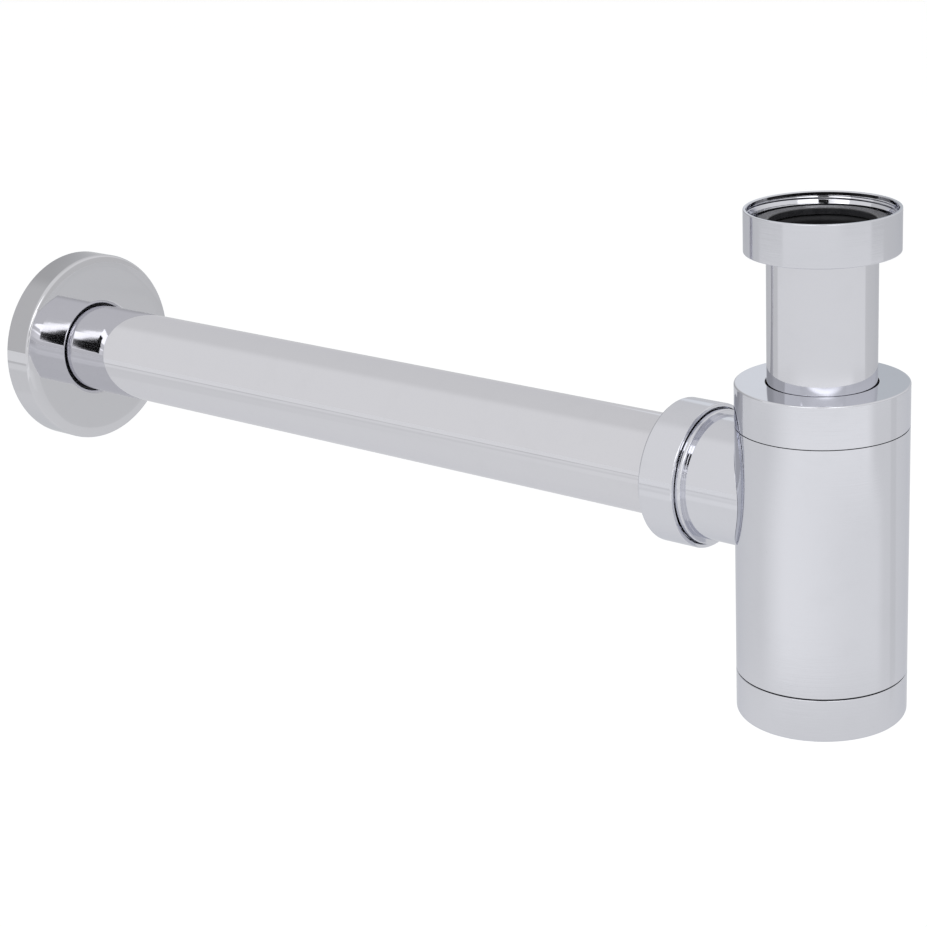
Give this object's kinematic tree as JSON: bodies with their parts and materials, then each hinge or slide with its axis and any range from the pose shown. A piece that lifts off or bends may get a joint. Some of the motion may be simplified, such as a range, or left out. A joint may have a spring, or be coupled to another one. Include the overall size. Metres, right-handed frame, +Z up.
{
  "type": "bottle trap",
  "caption": "Chromed bottle trap for a wash basin, with a threaded inlet nut on a dip tube, an unscrewing cup, and a wall tube with a round wall rosette.",
  "frame": {"origin": "centre of the inlet nut's mouth, on the bottle's axis", "axes": "+Z up along the bottle's axis, the way the basin waste leaves the inlet nut; +Y along the wall tube, towards the wall"},
  "size_m": [0.07, 0.3562, 0.1549],
  "materials": {
    "chrome": "polished chrome plating on brass",
    "brass": "turned",
    "rubber": "matte",
    "plastic": "smooth"
  },
  "bodies": {
    "bottle": {"bottle_body": "chrome", "upper_neck_ring": "brass", "lower_neck_ring": "brass", "outlet_spigot": "chrome", "cap_seal": "rubber", "outlet_seal": "rubber"},
    "inlet_tube": {"inlet_tube": "chrome", "inlet_washer": "rubber"},
    "inlet_slip_ring": {"inlet_slip_ring": "plastic"},
    "inlet_nut": {"inlet_nut": "chrome"},
    "cap_pressure_ring": {"cap_pressure_ring": "brass"},
    "top_cap": {"top_cap": "chrome"},
    "cup_seal": {"cup_seal": "rubber"},
    "bottom_cup": {"bottom_cup": "chrome"},
    "outlet_slip_ring": {"outlet_slip_ring": "plastic"},
    "outlet_nut": {"outlet_nut": "chrome"},
    "wall_tube": {"wall_tube": "chrome"},
    "rosette": {"rosette": "chrome", "rosette_ring": "rubber"}
  },
  "joints": [
    {"name": "inlet_height", "type": "slide", "parent": "bottle", "child": "inlet_tube", "axis": [0, 0, 1], "range_m": [-0.006, 0.03]},
    {"name": "inlet_nut_drop", "type": "slide", "parent": "inlet_tube", "child": "inlet_slip_ring", "axis": [0, 0, 1], "range_m": [-0.022, 0]},
    {"name": "inlet_nut_turn", "type": "hinge", "parent": "inlet_slip_ring", "child": "inlet_nut", "pos_m": [0, 0, -0.0063], "axis": [0, 0, 1], "continuous": true},
    {"name": "cap_lift", "type": "slide", "parent": "bottle", "child": "cap_pressure_ring", "axis": [0, 0, 1], "range_m": [0, 0.0075]},
    {"name": "cap_turn", "type": "hinge", "parent": "cap_pressure_ring", "child": "top_cap", "pos_m": [0, 0, -0.0577], "axis": [0, 0, 1], "range_deg": [0, 1800]},
    {"name": "cup_drop", "type": "slide", "parent": "bottle", "child": "cup_seal", "axis": [0, 0, 1], "range_m": [-0.009, 0]},
    {"name": "cup_turn", "type": "hinge", "parent": "cup_seal", "child": "bottom_cup", "pos_m": [0, 0, -0.148], "axis": [0, 0, 1], "range_deg": [-2160, 0]},
    {"name": "outlet_nut_draw", "type": "slide", "parent": "bottle", "child": "outlet_slip_ring", "axis": [0, 1, 0], "range_m": [0, 0.00693]},
    {"name": "outlet_nut_turn", "type": "hinge", "parent": "outlet_slip_ring", "child": "outlet_nut", "pos_m": [0, 0.0445, -0.0874], "axis": [0, 1, 0], "range_deg": [0, 1080]},
    {"name": "wall_tube_depth", "type": "slide", "parent": "bottle", "child": "wall_tube", "axis": [0, 1, 0], "range_m": [0, 0.008]},
    {"name": "rosette_slide", "type": "slide", "parent": "wall_tube", "child": "rosette", "axis": [0, 1, 0], "range_m": [-0.257, 0]}
  ],
  "couplings": [
    {"joint": "cap_lift", "follows": "cap_turn", "m_per_rad": 0.00023873},
    {"joint": "cup_drop", "follows": "cup_turn", "m_per_rad": 0.00023873},
    {"joint": "outlet_nut_draw", "follows": "outlet_nut_turn", "m_per_rad": 0.00036749}
  ]
}
